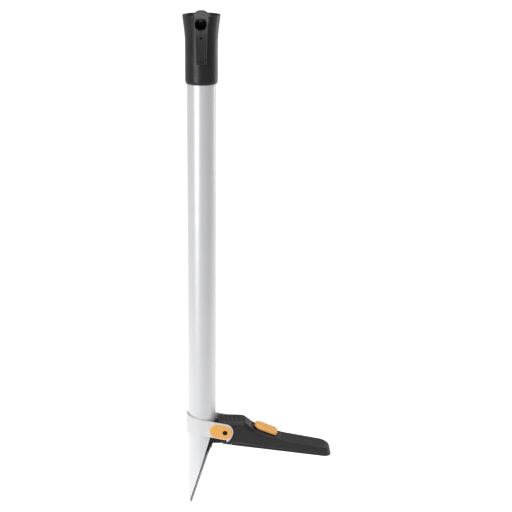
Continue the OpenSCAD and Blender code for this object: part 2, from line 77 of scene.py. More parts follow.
# %% [markdown]
# Every new piece is a net of points with rows and columns. A row is a ring or a line across the piece,
# and the rows follow each other along it. Writing the points as one numpy array keeps each shape a
# plain formula, which is easier to change than vertices pushed by hand.

# %% From a net of points to a mesh
def quads(rows, columns, closed):
    """Corner numbers of the faces between neighbouring rows: the face at row i and column j joins
    points (i, j), (i, j+1), (i+1, j+1) and (i+1, j), and a closed ring joins its last column to its first."""
    i, j = np.meshgrid(np.arange(rows - 1), np.arange(columns if closed else columns - 1), indexing="ij")
    k = (j + 1) % columns
    return np.stack([i * columns + j, i * columns + k, (i + 1) * columns + k, (i + 1) * columns + j],
                    axis=-1).reshape(-1, 4)

def make_piece(name, points, faces, sharp=40):
    """Mesh object from points in millimetres and lists of corner numbers. Doubled points are merged,
    faces turned outwards, and edges sharper than the angle in degrees stay crisp."""
    mesh = bpy.data.meshes.new(name)
    mesh.from_pydata((np.asarray(points, float) / 1000).tolist(), [], [list(map(int, f)) for f in faces])
    tidy = bmesh.new()
    tidy.from_mesh(mesh)
    bmesh.ops.remove_doubles(tidy, verts=tidy.verts, dist=2e-6)
    bmesh.ops.dissolve_degenerate(tidy, edges=tidy.edges, dist=1e-6)
    bmesh.ops.recalc_face_normals(tidy, faces=tidy.faces)
    tidy.to_mesh(mesh)
    tidy.free()
    mesh.polygons.foreach_set("use_smooth", np.ones(len(mesh.polygons), bool))
    mesh.set_sharp_from_angle(angle=math.radians(sharp))
    piece = bpy.data.objects.new(name, mesh)
    bpy.context.scene.collection.objects.link(piece)
    return piece

def skin(name, rings, loop=False, sharp=40):
    """Closed skin over rings of points, an array of rows x columns x 3. With loop the last ring joins
    the first, and without it a flat face closes each end."""
    rings = np.asarray(rings, float)
    rows, columns = rings.shape[:2]
    if loop:
        rings = np.concatenate([rings, rings[:1]])
        rows += 1
    faces = [list(f) for f in quads(rows, columns, True)]
    if not loop:
        faces += [list(range(columns)), [(rows - 1) * columns + j for j in range(columns)]]
    return make_piece(name, rings.reshape(-1, 3), faces, sharp)

def finish_piece(piece, body, slot, material, *nodes):
    """The piece gets its finish, moves with a body, and stands for its CAD nodes."""
    piece.data.materials.append(material)
    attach(piece, body)
    if nodes:
        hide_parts(*nodes)
    place = np.array([v.co for v in piece.data.vertices]) * 1000
    print(piece.name, len(piece.data.polygons), "faces, mm",
          np.round(place.min(0), 1), np.round(place.max(0), 1))

# %% [markdown]
# ## Finishes
# Real plastic and metal are never one flat colour. Each finish here starts from the Principled shader
# and adds three small things: a slow change of tone over centimetres, a change of roughness where the
# surface is rubbed, and a fine bump for the moulded or drawn grain. The patterns read the object's own
# coordinates, which are the same in every view. A painted image would need unwrapping, so noise nodes
# were chosen.

# %% A helper for all finishes
def new_finish(name, colour, tint, rough, metal=0.0, grain=900.0, stretch=(1, 1, 1), bump=0.1,
               depth=0.0002, patch=14.0, specular=0.5, wear=None):
    """Principled finish. Tone: colour and tint mixed by slow noise. Roughness: a range, mixed by finer
    noise. Bump: fine noise of the given scale per metre, stretched by a factor on each axis. Wear
    lightens convex edges, where the surface's pointiness is high."""
    m = bpy.data.materials.new(name)
    m.use_nodes = True
    tree = m.node_tree
    n, l = tree.nodes, tree.links
    shader = n["Principled BSDF"]
    shader.inputs["Metallic"].default_value = metal
    shader.inputs["Specular IOR Level"].default_value = specular
    place = n.new("ShaderNodeTexCoord")
    def noise(scale, detail, factor):
        """Noise on the object's own coordinates, stretched by a factor on each axis."""
        move = n.new("ShaderNodeMapping")
        move.inputs["Scale"].default_value = factor
        l.new(place.outputs["Object"], move.inputs["Vector"])
        t = n.new("ShaderNodeTexNoise")
        t.inputs["Scale"].default_value = scale
        t.inputs["Detail"].default_value = detail
        l.new(move.outputs["Vector"], t.inputs["Vector"])
        return t.outputs["Fac"]
    def blend(share, b):
        """A node that mixes from its colour A to the colour b by a share."""
        mix = n.new("ShaderNodeMix")
        mix.data_type = "RGBA"
        mix.inputs["B"].default_value = (*b, 1)
        l.new(share, mix.inputs["Factor"])
        return mix
    mix = blend(noise(patch, 3, (1, 1, 1)), tint)
    mix.inputs["A"].default_value = (*colour, 1)
    tone = mix.outputs["Result"]
    if wear:
        point = n.new("ShaderNodeNewGeometry")
        ramp = n.new("ShaderNodeMapRange")
        ramp.inputs["From Min"].default_value = 0.53
        ramp.inputs["From Max"].default_value = 0.62
        l.new(point.outputs["Pointiness"], ramp.inputs["Value"])
        mix = blend(ramp.outputs["Result"], wear)
        l.new(tone, mix.inputs["A"])
        tone = mix.outputs["Result"]
    l.new(tone, shader.inputs["Base Color"])
    span = n.new("ShaderNodeMapRange")
    span.inputs["From Min"].default_value, span.inputs["From Max"].default_value = 0.3, 0.7
    span.inputs["To Min"].default_value, span.inputs["To Max"].default_value = rough
    l.new(noise(60, 4, stretch), span.inputs["Value"])
    l.new(span.outputs["Result"], shader.inputs["Roughness"])
    raised = n.new("ShaderNodeBump")
    raised.inputs["Strength"].default_value = bump
    raised.inputs["Distance"].default_value = depth
    l.new(noise(grain, 2, stretch), raised.inputs["Height"])
    l.new(raised.outputs["Normal"], shader.inputs["Normal"])
    return m

# %% The finishes of this tool
satin_tube = new_finish("satin_tube", (0.63, 0.635, 0.645), (0.68, 0.68, 0.69), (0.32, 0.42), metal=0.45,
                        grain=500, stretch=(1, 1, 0.02), bump=0.08, depth=0.0001)
white_collar = new_finish("white_collar", (0.62, 0.62, 0.63), (0.66, 0.66, 0.66), (0.32, 0.44), metal=0.1,
                          grain=420, bump=0.06, depth=0.0001, wear=(0.9, 0.9, 0.9))
black_moulding = new_finish("black_moulding", (0.008, 0.008, 0.009), (0.014, 0.014, 0.016), (0.28, 0.42),
                            grain=1300, bump=0.22, depth=0.00012, specular=0.4, wear=(0.06, 0.06, 0.062))
pedal_moulding = new_finish("pedal_moulding", (0.006, 0.006, 0.007), (0.011, 0.011, 0.012), (0.34, 0.48),
                            grain=1100, bump=0.3, depth=0.00014, specular=0.4, wear=(0.07, 0.07, 0.07))
orange_moulding = new_finish("orange_moulding", (0.72, 0.345, 0.075), (0.76, 0.39, 0.095), (0.36, 0.5),
                             grain=1000, bump=0.15, depth=0.0001, wear=(0.95, 0.6, 0.25))
dark_oxide = new_finish("dark_oxide", (0.007, 0.007, 0.008), (0.014, 0.013, 0.013), (0.38, 0.55),
                        grain=700, bump=0.25, depth=0.0001, specular=0.22)
jaw_steel = new_finish("jaw_steel", (0.16, 0.165, 0.17), (0.24, 0.24, 0.245), (0.32, 0.55), metal=0.8,
                       grain=260, stretch=(1, 6, 1), bump=0.25, depth=0.0002, wear=(0.5, 0.5, 0.5))
zinc_plate = new_finish("zinc_plate", (0.55, 0.56, 0.58), (0.66, 0.66, 0.64), (0.22, 0.4), metal=1.0,
                        grain=800, bump=0.12, depth=0.0001, patch=60)
spring_wire = new_finish("spring_wire", (0.35, 0.35, 0.36), (0.45, 0.44, 0.43), (0.25, 0.4), metal=1.0,
                         grain=900, bump=0.1, depth=0.0001, patch=80)
turned_bronze = new_finish("turned_bronze", (0.50, 0.33, 0.14), (0.58, 0.40, 0.18), (0.25, 0.42), metal=1.0,
                           grain=500, stretch=(1, 12, 1), bump=0.2, depth=0.0001, patch=60)
print(len(bpy.data.materials), "materials")

# %% [markdown]
# CAD parts whose shape is already right only need a finish: rivets, screws, pins, washers, the bush,
# the springs, the lock and the jaw's bracket. Their meshes are left alone.

# %% Finishes of the carried-over CAD parts
finish_of = {"tube_metal": satin_tube, "collar_metal": white_collar, "black_plastic": black_moulding,
             "pedal_plastic": pedal_moulding, "orange_plastic": orange_moulding, "dark_steel": dark_oxide,
             "jaw_steel": jaw_steel, "zinc_steel": zinc_plate, "spring_steel": spring_wire,
             "bronze": turned_bronze}
for part in frame["record"]["subparts"]:
    mesh = node[part["node"]].data
    mesh.materials.clear()
    mesh.materials.append(finish_of[part["material_slot"]])

# %% [markdown]
# ## The tube
# The real tube is drawn aluminium, cut off at a slant with a saw and rubbed smooth. It could be a
# cylinder with a Boolean cut, but a Boolean leaves slivers at the point. Here each column of points
# runs from the slanting cut to the top, so the cut is exact and the net stays even.

# %% Tube sizes and its net
tube_r, tube_wall, tip_z, slope = 25.0, 1.5, -848.0, 170.0 / 50.0

def cut_height(x):
    """Height of the slanting cut above a place x: the tip plus the slope times the way from the far side."""
    return tip_z + slope * (x + tube_r)

def tube_rings(around=192, edge=0.35):
    """Closed profile carried round the axis. Its points are (radius, share of the height): up the
    outside, over a rounded rim, down the inside, and back over the cut. Height is the cut's height
    plus the share times what is left up to the top, which is at 0."""
    share = np.linspace(0, 1, 60)
    bore = tube_r - tube_wall
    profile = ([(tube_r, s) for s in share] + [(tube_r - edge, 1), (bore + edge, 1)]
               + [(bore, s) for s in share[::-1]])
    turn = np.linspace(0, 2 * np.pi, around, endpoint=False)
    rings = []
    for radius, part in profile:
        x, y = radius * np.cos(turn), radius * np.sin(turn)
        low = cut_height(x)
        rings.append(np.stack([x, y, low - part * low], axis=1))
    rings = np.array(rings)
    rings[len(share) - 1, :, 2] -= edge
    rings[len(share) + 2, :, 2] -= edge
    return rings

finish_piece(skin("tube_body", tube_rings(), loop=True), "root", "tube_metal", satin_tube, "tube")

# %% [markdown]
# ## The funnel sleeve
# A moulded sleeve is a surface of revolution: one profile turned round the axis. The lip is rolled and
# the flare starts from a soft bend, because a mould can't make a sharp one. A Spin or Screw modifier
# would do the same, but the net keeps the seam closed by itself.

# %% Profile helpers
def arc(centre, radius, start, end, steps=6):
    """Points of a circle's arc between two angles in degrees."""
    a = np.radians(np.linspace(start, end, steps))
    return np.stack([centre[0] + radius * np.cos(a), centre[1] + radius * np.sin(a)], axis=1)

def soften(points, radius, steps=6):
    """Rounds the corners of an outline: each corner becomes a curve that leaves and meets its two sides
    at the given distance, or at 45% of a shorter side. The curve is (1-t)^2 A + 2t(1-t) corner + t^2 B."""
    p = np.asarray(points, float)
    count = len(p)
    r = np.broadcast_to(np.asarray(radius, float), (count,))
    before, after = np.roll(p, 1, axis=0) - p, np.roll(p, -1, axis=0) - p
    lb, la = np.linalg.norm(before, axis=1), np.linalg.norm(after, axis=1)
    a = p + before / lb[:, None] * np.minimum(r, 0.45 * lb)[:, None]
    b = p + after / la[:, None] * np.minimum(r, 0.45 * la)[:, None]
    t = np.linspace(0, 1, steps)[None, :, None]
    curve = (1 - t) ** 2 * a[:, None] + 2 * t * (1 - t) * p[:, None] + t ** 2 * b[:, None]
    return curve.reshape(-1, p.shape[1])

def turned(profile, around=160):
    """Rings of a surface of revolution: each profile point (radius, height) becomes a circle of that
    radius round the tube's axis, at that height."""
    turn = np.linspace(0, 2 * np.pi, around, endpoint=False)
    r, h = profile[:, :1], profile[:, 1:2]
    return np.stack([r * np.cos(turn), r * np.sin(turn), h + 0 * turn], axis=2)

# %% The sleeve
sleeve_r, sleeve_len, flare_r, flare_h, lip, seat_r, seat_z = 28.0, 75.0, 32.5, 42.0, 1.8, 24.5, 8.0
sleeve_profile = soften(
    [(tube_r + 0.05, -sleeve_len), (26.6, -sleeve_len), (27.7, -sleeve_len + 2.4),
     (sleeve_r, -sleeve_len + 6), (sleeve_r, -8), (sleeve_r + 0.35, 8), (flare_r - 0.2, flare_h - 3),
     (flare_r, flare_h),
     (flare_r - lip, flare_h), (seat_r, seat_z), (seat_r, 0.05), (tube_r + 0.05, 0.05)],
    [0.3, 1.5, 1.5, 3, 14, 14, 1.2, 0.8, 0.8, 2, 0.3, 0.3])
finish_piece(skin("funnel_sleeve_moulding", turned(sleeve_profile), loop=True), "root", "black_plastic",
             black_moulding, "funnel_sleeve")

# %% [markdown]
# ## The grip
# The grip is a hollow bar with a slightly squared section, a thin wall at its open end, and a round
# root where it grows out of the sleeve. It is a ring carried along a straight path while its size
# changes: outside from the root to the end, round the rim, and back down the hole.

# %% Grip net
grip_z, grip_r, grip_end, root_r, root_z = 40.3, 10.8, -134.0, 15.6, 36.4
squarish, squarer_hole, no_limit = 2.25, 2.2, 99
tab_half, tab_drop = 3.1, 4.2

def squared_circle(radius, power, around=96):
    """Ring of points with |x|^p + |z|^p = radius^p: a circle at p = 2, squarer as p grows. The upper
    half of the grip's own section is squarer than the lower half: its p is larger by 1.1."""
    a = np.linspace(0, 2 * np.pi, around, endpoint=False)
    c, s = np.cos(a), np.sin(a)
    power = np.where((s > 0) & (power == squarish), power + 1.1, power)
    k = (np.abs(c) ** power + np.abs(s) ** power) ** (-1 / power)
    return np.stack([radius * k * c, radius * k * s], axis=1)

def grip_rows():
    """Rows of (way from the grip's end, radius, centre below the grip's axis, power, top limit), from
    the root to the end, over the grooved end ring, and back down the hole. At the root the radius
    and the drop shrink as the share s of the root's length goes from 0 to 1."""
    root = [(y - grip_end, grip_r + (root_r - grip_r) * (1 - s) ** 1.35, (grip_z - root_z) * (1 - s), 2.0,
             grip_r + 0.7 + (grip_z - root_z) * (1 - s))
            for y, s in zip(np.linspace(-22, -52, 22), np.linspace(0, 1, 22))]
    bar = [(y - grip_end, grip_r, 0, squarish, no_limit) for y in np.linspace(-54, grip_end + 4.2, 30)]
    ring = [(y, grip_r - inset, 0, squarish, no_limit)
            for y, inset in ((4.1, 0.45), (3.5, 0.45), (3.3, 0), (0.8, 0), (0.2, 0.25), (0, 0.7))]
    hole = [(y, radius, 0, squarer_hole, top)
            for y, radius, top in ((0, 9.75, 9.2), (0.3, 9.35, 8.8), (1.2, 9.25, 8.7), (1.5, 9.25, 8.7),
                                   (3, 9.2, 8.7), (30, 9.0, 8.6), (60, 8.9, 8.6))]
    return root + bar + ring + hole + [(60.2, 0.05, 0, 2, no_limit)]

def grip_rings():
    """The ring of each row is a squared circle whose top is cut flat at the row's limit and eased by a
    soft minimum. A tab hangs from the roof of the hole, over its first 40."""
    rings = []
    for way, radius, drop, power, top in grip_rows():
        p = squared_circle(radius, power)
        p[:, 1] -= np.logaddexp(0, (p[:, 1] - top) * 3) / 3
        if power == squarer_hole and 1.3 < way < 40:
            p[:, 1] -= tab_drop / (1 + np.exp((np.abs(p[:, 0]) - tab_half) / 0.3)) * (p[:, 1] > 0)
        rings.append(np.stack([p[:, 0], np.full(len(p), grip_end + way), grip_z - drop + p[:, 1]], axis=1))
    return np.array(rings)

finish_piece(skin("grip_bar", grip_rings()), "root", "black_plastic", black_moulding, "grip")

# %% [markdown]
# ## The brace under the grip
# A strip runs down the front of the sleeve and sweeps out under the grip, like the web of a bracket.
# Its front face is a concave quarter sweep, and it ends in a small toe. It has a rounded front
# section that is carried up the sleeve, and a countersunk hole for its screw.

# %% Brace net
def brace_front(z):
    """How far the front face stands from the tube's axis at a height: a quarter ellipse from the
    sleeve up to the grip, plus a small toe at the foot."""
    share = np.clip((25.5 - z) / 64.5, 0, 1)
    sweep = 31.2 + 34.3 * (1 - np.sqrt(1 - (1 - share) ** 2))
    toe = 2.0 * np.exp(-((z + 36.6) / 1.5) ** 4)
    return sweep + toe

def brace_half(z):
    """Half the strip's width: it tapers from 21.5 at the grip to 17.5 at the foot."""
    return 8.75 + 2.0 * np.clip((z + 39) / 79.3, 0, 1)

def brace_rings(rows=150, screw_z=7.0):
    """Each ring is a section at one height: back corners hidden in the sleeve, front corners of radius r
    rounded, a round dimple of radius 2 sunk 3.4 at the screw, and a shallow groove down each side."""
    rings, r = [], 1.8
    for z in np.linspace(-39, 31.5, rows):
        w, f = brace_half(z), brace_front(z)
        across_front = np.linspace(-w + r, w - r, 44)
        left = arc((-w + r, -f + r), r, 180, 270, 6)[:-1]
        right = arc((w - r, -f + r), r, 270, 360, 6)[1:]
        front = np.stack([across_front, np.full(44, -f)], axis=1)
        p = np.concatenate([[(-w, -26.5)], left, front, right, [(w, -26.5)]])
        far = np.hypot(p[:, 0], z - screw_z)
        p[:, 1] += 3.4 / (1 + np.exp((far - 2.0) * 9)) * (p[:, 1] < -27)
        p[:, 1] += 0.5 * np.exp(-((np.abs(p[:, 0]) - w + 4.2) / 0.5) ** 2) * (p[:, 1] < -27) * (z > -30)
        rings.append(np.column_stack([p, np.full(len(p), z)]))
    return np.array(rings)

finish_piece(skin("brace_strip", brace_rings()), "root", "black_plastic", black_moulding, "grip_brace")

# %% [markdown]
# ## Plates with soft edges
# Many parts of the tool are flat plates: an outline with a thickness and a rounded edge. The outline
# is drawn inwards along its own normals while the height follows a quarter circle, which rounds the
# edge all the way round. A Bevel modifier on an extruded face would work too, but it needs the edge
# picked out first.

# %% Outlines and slabs
def normals_of(outline):
    """Unit normals of a closed outline, to its right hand: the way from the point before to the point
    after, turned a quarter turn."""
    way = np.roll(outline, -1, axis=0) - np.roll(outline, 1, axis=0)
    way /= np.maximum(np.linalg.norm(way, axis=1, keepdims=True), 1e-9)
    return np.stack([way[:, 1], -way[:, 0]], axis=1)

def slab(outline, low, high, edge, steps=5, crown=0.0):
    """Rings of a slab in (a, b, t): the outline set in by edge*(1 - cos) while t rises by edge*sin, at
    both faces. The outline runs counter-clockwise. Crown lifts the upper face towards its middle."""
    outline = np.asarray(outline, float)
    out = normals_of(outline)
    turn = np.linspace(0, np.pi / 2, steps)
    inset = np.concatenate([edge * (1 - np.sin(turn)), edge * (1 - np.cos(turn))])
    height = np.concatenate([low + edge * (1 - np.cos(turn)), high - edge * (1 - np.sin(turn))])
    rings = [np.column_stack([outline - out * i, np.full(len(outline), h)]) for i, h in zip(inset, height)]
    if crown:
        top, middle = rings[-1], rings[-1][:, :2].mean(0)
        for s in np.linspace(0, 1, 14)[1:-1]:
            flat = top[:, :2] * (1 - s) + middle * s
            rings.append(np.column_stack([flat, high + crown * (1 - (1 - s) ** 2) + 0 * top[:, 0]]))
    return np.array(rings)

def on_side(rings, side=-1):
    """Turns slab rings (a, b, t) into the frame for a plate that lies in X and Z: x = a, z = b, and
    y = t on the given side."""
    return np.stack([rings[..., 0], side * rings[..., 2], rings[..., 1]], axis=-1)

# %% Pivot and hinge places
pivot = np.array([41.3, -701.925])
hinge = np.array([25.8, -699.025])
strap_in, strap_out, plate_out = 25.4, 28.4, 31.8
ear_r, top_fall, foot_fall = 14.6, math.radians(10.8), math.radians(11.6)
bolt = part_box("pivot_bolt")
print("bolt axis in mm", round((bolt[0].x + bolt[1].x) * 500, 2), round((bolt[0].z + bolt[1].z) * 500, 2))

# %% [markdown]
# ## The collar strap
# The strap is one strip of coated steel bent round the back of the tube, with a round ear on each
# side of it. Along the strip the place follows a straight line, a half circle and a straight line. Across
# it, the height runs from the lower edge to the upper one. So the piece is a function of two parameters:
# the way along the strip, and the share of its height.

# %% Edges of the strap
def strap_edges(x):
    """Lower and upper edge at a place x. The upper edge is a line that falls 10.8 degrees and then the
    circle of the ear. The lower edge is level, then rises with 11.6 degrees, then follows the ear with
    the tooth that stops the pedal."""
    head = pivot[1] + ear_r / math.cos(top_fall) + math.tan(top_fall) * pivot[0]
    foot = pivot[1] - ear_r / math.cos(foot_fall) + math.tan(foot_fall) * pivot[0]
    u = np.clip(x - pivot[0], -ear_r, ear_r)
    ball = np.sqrt(np.maximum(ear_r ** 2 - u ** 2, 0))
    upper = np.where(u < ear_r * math.sin(top_fall), head - math.tan(top_fall) * x, pivot[1] + ball)
    lower = np.where(x < 0, foot, np.where(u < -ear_r * math.sin(foot_fall),
                     foot - math.tan(foot_fall) * x, pivot[1] - ball))
    tooth_u = [2.2, 3.2, 6.67, 11.2, 13.3]
    tooth_drop = [0, 4.3, 3.5, 1.3, 0]
    return lower - np.interp(u, tooth_u, tooth_drop, left=0, right=0), upper

def strap_rings(rim=0.45):
    """Ring at each place along the strip: lower edge, outer face, upper edge, inner face, with the rims
    rounded. The strip's middle line gives place and direction, and the thickness goes to both sides."""
    mid = (strap_in + strap_out) / 2
    half = (strap_out - strap_in) / 2
    far = pivot[0] + ear_r - 0.02
    lead = np.concatenate([far - ear_r * (1 - np.cos(np.linspace(0, np.pi / 2, 26))),
                           np.linspace(pivot[0] - 1.5, 1, 26)])
    lead = np.unique(np.concatenate([lead, pivot[0] + np.array([0, 2.2, 2.7, 3.2, 4.5, 6.67])]))[::-1]
    around = np.linspace(-np.pi / 2, -3 * np.pi / 2, 90)
    x = np.concatenate([lead, mid * np.cos(around), lead[::-1]])
    y = np.concatenate([np.full(len(lead), -mid), mid * np.sin(around), np.full(len(lead), mid)])
    nx = np.concatenate([0 * lead, np.cos(around), 0 * lead])
    ny = np.concatenate([-1 + 0 * lead, np.sin(around), 1 + 0 * lead])
    low, high = strap_edges(x)
    high = np.maximum(high, low + 0.05)
    share = np.linspace(0, 1, 14)
    e = np.minimum(rim, (high - low) / 4)[:, None]
    face_z = low[:, None] + e + share * ((high - low)[:, None] - 2 * e)
    flat, near_top, near_foot = np.ones(face_z.shape), high[:, None] - 0.3 * e, low[:, None] + 0.3 * e
    top, foot, one = high[:, None], low[:, None], np.ones((len(x), 1))
    ring_z = np.concatenate([face_z, near_top, top, top, near_top,
                             face_z[:, ::-1], near_foot, foot, foot, near_foot], axis=1)
    over = [one * (half - 0.13), one * (half - rim), one * (rim - half), one * (0.13 - half)]
    ring_o = np.concatenate([flat * half, *over, flat * -half, *over[::-1]], axis=1)
    return np.stack([x[:, None] + nx[:, None] * ring_o, y[:, None] + ny[:, None] * ring_o, ring_z], axis=2)

finish_piece(skin("collar_strap_steel", strap_rings(), sharp=50), "root", "collar_metal", white_collar,
             "collar_strap")

# %% [markdown]
# ## The orange pivot plates
# Each ear carries a moulded plate with two round ends. Seen from the pivot, the edge is a distance
# that changes with the angle, so the plate is a net of angle and way outwards: from the bolt's recess,
# over the face, round the edge and back.

# %% Plate net
def to_edge(angle, radius):
    """Distance from the pivot to the outline of two equal circles joined by straight lines, along an
    angle: the largest of the ways to the far circle, to the near circle and to the straight sides."""
    span = np.linalg.norm(hinge - pivot)
    lean = math.atan2(*(hinge - pivot)[::-1])
    a = angle - lean
    reach = span * np.cos(a) + np.sqrt(np.maximum(radius ** 2 - (span * np.sin(a)) ** 2, 0))
    side = radius / np.maximum(np.abs(np.sin(a)), 1e-6)
    beside = side * np.cos(a)
    return np.where(np.cos(a) <= 0, radius, np.where(beside <= span, side, reach))

def plate_rings(radius, hole_r, recess, around=144, edge=0.9):
    """Rows from the back of the recess to its rim, over the face to the rounded edge, and down to the
    back face. Each point lies at hole radius + share * (edge distance - hole radius)."""
    a = np.linspace(0, 2 * np.pi, around, endpoint=False)
    rim = to_edge(a, radius)
    t = np.linspace(0, np.pi / 2, 6)
    rows = [(0.0, 0.0, recess), (0.0, 0.0, 0.5), (0.0, 0.15, 0.15), (0.0, 0.5, 0.0)]
    rows += [(s, 0.0, 0.0) for s in np.linspace(0.15, 0.75, 8)]
    rings = [np.column_stack([hole_r + d + s * (rim - hole_r), 0 * a + plate_out - h]) for s, d, h in rows]
    rings += [np.column_stack([rim - edge * (1 - np.sin(k)), 0 * a + plate_out - edge * (1 - np.cos(k))])
              for k in t]
    rings += [np.column_stack([rim, 0 * a + strap_out]), np.column_stack([0 * a + hole_r, 0 * a + strap_out])]
    return np.array([np.column_stack([pivot[0] + r[:, 0] * np.cos(a), pivot[1] + r[:, 0] * np.sin(a),
                                      r[:, 1]]) for r in rings])

finish_piece(skin("front_plate_moulding", on_side(plate_rings(12.0, 4.45, 3.4)), loop=True), "root",
             "orange_plastic", orange_moulding, "front_pivot_plate")
finish_piece(skin("rear_plate_moulding", on_side(plate_rings(12.0, 3.05, 3.4), 1), loop=True), "root",
             "orange_plastic", orange_moulding, "rear_pivot_plate")

# %% [markdown]
# ## The jaw plate
# The jaw is a curved steel plate that closes the slanting mouth. Its place up the cut and its place
# across it are the two parameters. Its height over the cut is a straight ridge less the drop of a large
# crosswise circle, and its half width is the ellipse of the mouth, which rounds off below the hinge.

# %% Jaw net
cut_angle = math.atan(slope)

def from_cut(u, v, w):
    """A point at u up the cut from the tip, v across it and w above it, in the frame."""
    return np.stack([-tube_r + u * math.cos(cut_angle) + w * math.sin(cut_angle), v,
                     tip_z + u * math.sin(cut_angle) - w * math.cos(cut_angle)], axis=-1)

def jaw_rings(thick=3.0, length=130.0, bend=120.0, across=25):
    """Ring at each place up the cut: outer face from one edge to the other, and the inner face back."""
    half = math.hypot(tube_r, 85.0)
    top_r = 14.0
    first = 0.6 + 30 * (1 - np.cos(np.linspace(0.05, np.pi / 2, 30)))
    last = length - top_r + top_r * np.sin(np.linspace(0, np.pi / 2 - 0.03, 18))
    u = np.concatenate([first, np.linspace(31.5, length - top_r - 1, 60), last])
    wide = (tube_r - 0.2) * np.sqrt(np.maximum(1 - ((u - 0.5 - half) / half) ** 2, 1e-6))
    ball = np.sqrt(np.maximum(top_r ** 2 - (u - length + top_r) ** 2, 0.01))
    wide = np.where(u > length - top_r, ball, wide)
    near = (u < length - top_r) & (u > length - top_r - 6)
    join = np.clip((u - (length - top_r - 6)) / 6, 0, 1)
    wide = np.where(near, wide * (1 - join ** 2) + top_r * join ** 2, wide)
    s = np.sin(np.linspace(-np.pi / 2, np.pi / 2, across))
    v = wide[:, None] * s
    ridge = (5.0 + 3.4 * u / length)[:, None]
    outer = ridge - (bend - np.sqrt(bend ** 2 - v ** 2))
    rim = 0.5 * np.clip((np.abs(s) - 0.93) / 0.07, 0, 1) ** 2
    up, down = outer - rim, (outer - thick + rim)[:, ::-1]
    ring_v, ring_w = np.concatenate([v, v[:, ::-1]], axis=1), np.concatenate([up, down], axis=1)
    return from_cut(u[:, None] + 0 * ring_v, ring_v, ring_w)

finish_piece(skin("jaw_plate_steel", jaw_rings()), "jaw", "jaw_steel", jaw_steel, "jaw_plate")

# %% [markdown]
# ## The pedal
# The pedal is a moulded shell, open below. Its top has ribs across a hump for the toe, a sloping
# pocket for the slider, and a shallow panel on the tread, and a chamfer runs along its shoulder. All
# of it is one net: a section is carried out from the pivot, and the ribs, pocket and panel are
# heights that are taken off the top. Booleans could cut them, but they would leave no soft edges.

# %% Pedal sizes, seen from the pivot
half_w, reach, end_r, wall = 22.5, 191.0, 15.0, 3.6
ramp_u, ramp_w, ramp_fall = 51.2, 2.9, math.radians(22)

def top_line(u):
    """Height of the pedal's top before its details: the hump, the ramp, the tread and its end, as one
    line with its corners eased."""
    places = [-13, -12.2, -10.5, 0, 19.7, 26, 32.7, 36.5, 39.5, 43, 51.2, 60, 98.77, 107.8, 174, 181,
              188, 190, 191]
    heights = [15.0, 16.7, 17.5, 17.35, 17.1, 16.8, 16.2, 14.6, 12.3, 9.4, 2.9, -0.66, -16.32, -18.62, -31.2,
               -33.4, -36.7, -38.8, -41.2]
    fine = np.arange(-13, 191.01, 0.25)
    line = np.interp(fine, places, heights)
    smooth = np.convolve(np.pad(line, 8, mode="reflect", reflect_type="odd"), np.ones(17) / 17, mode="valid")
    keep = np.clip((fine + 12) / 3, 0, 1) * np.clip((189 - fine) / 4, 0, 1)
    return np.interp(u, fine, line * (1 - keep) + smooth * keep)

def bottom_line(u):
    """Height of the pedal's lower edge: a line that falls 7.3 degrees, stepped up by the base plate
    beyond 12, and cut away towards the jaw."""
    foot = -24.5 - math.tan(math.radians(7.3)) * (u + 4)
    back = -10 - 14.5 * (u + 10.3) / 6.3
    return np.where(u < -10.3, 9.7, np.where(u < -4, back, np.where(u < 12, foot, foot + 3.5)))

def half_width(u, w, end):
    """Half the pedal's width: full, less the round corners at the far end and at the inner end."""
    far = np.clip(u - (reach - end_r), 0, end)
    near = np.clip(-9 - u, 0, 4)
    far_cut = end - np.sqrt(np.maximum(end ** 2 - far ** 2, 0))
    near_cut = 4 - np.sqrt(np.maximum(16 - near ** 2, 0))
    return w - far_cut - near_cut

def shoulder(u):
    """Width and height of the chamfer along the shoulder: large on the hump and the ramp, small on
    the tread."""
    fade = np.clip((100 - u) / 34, 0, 1)
    fade = fade * fade * (3 - 2 * fade)
    grow = np.clip((u + 13) / 4, 0.25, 1)
    return (1.0 + 2.9 * fade) * grow, (1.1 + 5.4 * fade) * grow

# %% Details that are taken off the top
def step(x, width=0.35):
    """Smooth step from 0 to 1 round x = 0: 1 / (1 + exp(-x / width))."""
    return 1 / (1 + np.exp(-np.clip(x / width, -40, 40)))

def inside_round_box(u, y, u0, u1, half, radius):
    """How far a point lies inside a box with round corners: minus the signed distance to it."""
    qu = np.abs(u - (u0 + u1) / 2) - (u1 - u0) / 2 + radius
    qy = np.abs(y) - half + radius
    return radius - np.hypot(np.maximum(qu, 0), np.maximum(qy, 0)) - np.minimum(np.maximum(qu, qy), 0)

def carved(u, y, w):
    """Takes the details off the top's height w: rib grooves 7.8 apart on the hump, the slider's pocket
    down to a plane 1.4 under the ramp, and a panel 0.8 deep on the tread."""
    groove = sum(np.exp(-((u - c) / 0.95) ** 2) for c in -6.4 + 7.8 * np.arange(6))
    w = w - 1.5 * groove * step(17.2 - np.abs(y), 0.5)
    floor = ramp_w - (u - ramp_u) * math.tan(ramp_fall) - 1.4 / math.cos(ramp_fall)
    along = (u - ramp_u) / math.cos(ramp_fall)
    in_pocket = step(inside_round_box(along, y, -4.4, 44.9, 15.5, 6.3), 0.12)
    w = w - in_pocket * np.maximum(w - floor, 0)
    return w - 0.8 * step(inside_round_box(u, y, 101, 181, 18.6, 13), 0.18)

# %% The pedal's section and its net
def between(a, b, steps):
    """Points from a to b, for whole arrays of sections at once: a + t (b - a)."""
    t = np.linspace(0, 1, steps)[None, :, None]
    return a[:, None] * (1 - t) + b[:, None] * t

def bend_at(a, corner, b, steps=5):
    """The same easing curve as in soften(), for whole arrays of sections."""
    t = np.linspace(0, 1, steps)[None, :, None]
    return (1 - t) ** 2 * a[:, None] + 2 * t * (1 - t) * corner[:, None] + t ** 2 * b[:, None]

